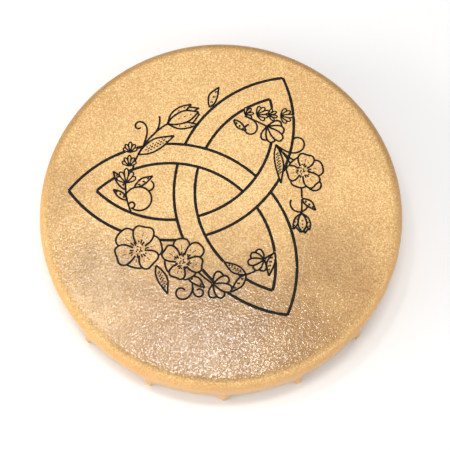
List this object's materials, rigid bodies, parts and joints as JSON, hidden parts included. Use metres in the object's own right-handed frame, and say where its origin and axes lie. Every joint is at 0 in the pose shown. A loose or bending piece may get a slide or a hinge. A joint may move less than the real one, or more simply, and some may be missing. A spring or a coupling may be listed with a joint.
{
  "type": "frame drum",
  "caption": "Shallow round hand drum: a rawhide head laced over a bent wooden hoop, with the laces gathered at a metal ring as a cross-shaped grip behind it.",
  "frame": {"origin": "middle of the plane that the drum lies on, on the drum's axis", "axes": "+Z along the drum's axis, from its laced back up to the playing face; +Y is the top of the drawing on the face; +X is its right-hand side"},
  "size_m": [0.4126, 0.4126, 0.0692],
  "materials": {
    "hoop_wood": "satin oiled pale hardwood",
    "rawhide_head": "translucent rawhide, waxy gloss, ink drawing of a knot and flowers",
    "rawhide_lace": "dried rawhide, satin",
    "ring_steel": "plain welded steel ring",
    "suede": "matt suede"
  },
  "bodies": {
    "root": {"frame_hoop": "hoop_wood", "drum_head": "rawhide_head", "lace_loop_01": "rawhide_lace", "lace_loop_02": "rawhide_lace", "lace_loop_03": "rawhide_lace", "lace_loop_04": "rawhide_lace", "lace_loop_05": "rawhide_lace", "lace_loop_06": "rawhide_lace", "lace_loop_07": "rawhide_lace", "lace_loop_08": "rawhide_lace", "lace_loop_09": "rawhide_lace", "lace_loop_10": "rawhide_lace", "lace_loop_11": "rawhide_lace", "lace_loop_12": "rawhide_lace", "lace_loop_13": "rawhide_lace", "lace_loop_14": "rawhide_lace", "lace_loop_15": "rawhide_lace", "grip_ring": "ring_steel", "grip_wrap_1": "suede", "grip_wrap_2": "suede", "grip_wrap_3": "suede", "grip_wrap_4": "suede"}
  },
  "joints": []
}
